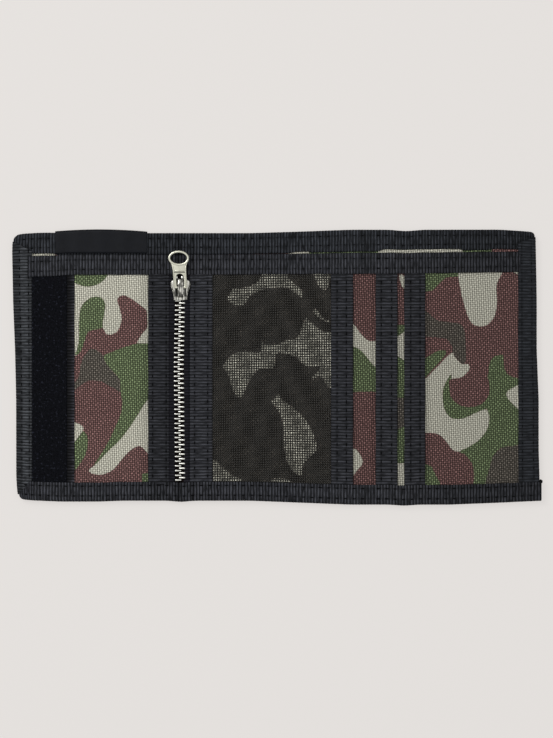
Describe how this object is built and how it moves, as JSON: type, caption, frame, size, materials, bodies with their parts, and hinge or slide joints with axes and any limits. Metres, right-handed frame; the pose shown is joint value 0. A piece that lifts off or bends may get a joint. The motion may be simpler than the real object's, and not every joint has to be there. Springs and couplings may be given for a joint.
{
  "type": "trifold wallet",
  "caption": "Trifold cloth wallet lying open: zipped coin pocket, mesh window, card pockets and a banknote compartment, folding at two spines.",
  "frame": {"origin": "middle of the open wallet's outline, on the surface that it lies on", "axes": "+X from the left panel, with the hook strip, to the right panel, with the card pockets; +Y towards the open edge of the banknote compartment; +Z out of the inner side"},
  "size_m": [0.2442, 0.125, 0.0066],
  "materials": {
    "printed_cloth": "matt plain weave with a four-colour camouflage print",
    "ribbed_tape": "black ribbed grosgrain tape with two rows of stitching",
    "window_mesh": "fine black nylon mesh",
    "satin": "smooth black satin ribbon",
    "hook_pile": "black hook-and-loop strip",
    "loop_pile": "black loop strip",
    "zip_tape": "black woven zip tape",
    "nickel": "polished nickel"
  },
  "bodies": {
    "middle": {"bottom_binding_middle": "ribbed_tape", "lining_middle": "printed_cloth", "pocket_base_middle": "printed_cloth", "pocket_tape_middle": "ribbed_tape", "shell_middle": "printed_cloth", "top_binding_middle": "ribbed_tape", "window_left_tape": "ribbed_tape", "window_mesh": "window_mesh", "window_right_tape": "ribbed_tape"},
    "left_spine": {"bottom_binding_left_spine": "ribbed_tape", "lining_left_spine": "printed_cloth", "pocket_base_left_spine": "printed_cloth", "pocket_tape_left_spine": "ribbed_tape", "shell_left_spine": "printed_cloth", "top_binding_left_spine": "ribbed_tape", "zip_bottom_stop": "nickel", "zip_tape_left": "zip_tape", "zip_tape_right": "zip_tape", "zip_teeth_left": "nickel", "zip_teeth_right": "nickel", "zip_top_stop_left": "nickel", "zip_top_stop_right": "nickel"},
    "left_panel": {"bottom_binding_left_panel": "ribbed_tape", "coin_pocket_face": "printed_cloth", "coin_pocket_tape": "ribbed_tape", "hook_strip": "hook_pile", "label_tab": "satin", "left_binding": "ribbed_tape", "lining_left_panel": "printed_cloth", "pocket_base_left_panel": "printed_cloth", "pocket_tape_left_panel": "ribbed_tape", "shell_left_panel": "printed_cloth", "top_binding_left_panel": "ribbed_tape"},
    "right_spine": {"bottom_binding_right_spine": "ribbed_tape", "lining_right_spine": "printed_cloth", "pocket_base_right_spine": "printed_cloth", "pocket_tape_right_spine": "ribbed_tape", "shell_right_spine": "printed_cloth", "top_binding_right_spine": "ribbed_tape"},
    "right_panel": {"back_card_pocket": "printed_cloth", "back_pocket_tape": "ribbed_tape", "bottom_binding_right_panel": "ribbed_tape", "front_card_pocket": "printed_cloth", "front_pocket_tape": "ribbed_tape", "lining_right_panel": "printed_cloth", "loop_strip": "loop_pile", "pocket_base_right_panel": "printed_cloth", "pocket_tape_right_panel": "ribbed_tape", "right_binding": "ribbed_tape", "shell_right_panel": "printed_cloth", "top_binding_right_panel": "ribbed_tape"},
    "zip_slider": {"zip_slider": "nickel"},
    "zip_pull": {"zip_pull": "nickel"}
  },
  "joints": [
    {"name": "left_spine_fold", "type": "hinge", "parent": "middle", "child": "left_spine", "pos_m": [-0.0385, 0, 0.0025], "axis": [0, 1, 0], "range_deg": [0, 90]},
    {"name": "left_panel_fold", "type": "hinge", "parent": "left_spine", "child": "left_panel", "pos_m": [-0.0517, 0, 0.0025], "axis": [0, 1, 0], "range_deg": [0, 95]},
    {"name": "right_spine_fold", "type": "hinge", "parent": "middle", "child": "right_spine", "pos_m": [0.0427, 0, 0.0025], "axis": [0, -1, 0], "range_deg": [0, 90]},
    {"name": "right_panel_fold", "type": "hinge", "parent": "right_spine", "child": "right_panel", "pos_m": [0.0463, 0, 0.0025], "axis": [0, -1, 0], "range_deg": [0, 90]},
    {"name": "zip_slide", "type": "slide", "parent": "left_spine", "child": "zip_slider", "axis": [0, -1, 0], "range_m": [0, 0.08]},
    {"name": "pull_swing", "type": "hinge", "parent": "zip_slider", "child": "zip_pull", "pos_m": [-0.0449, 0.0368, 0.0054], "axis": [1, 0, 0], "range_deg": [0, 180]}
  ],
  "couplings": [
    {"joint": "left_panel_fold", "follows": "left_spine_fold", "ratio": 1.054},
    {"joint": "right_panel_fold", "follows": "right_spine_fold", "ratio": 1}
  ]
}
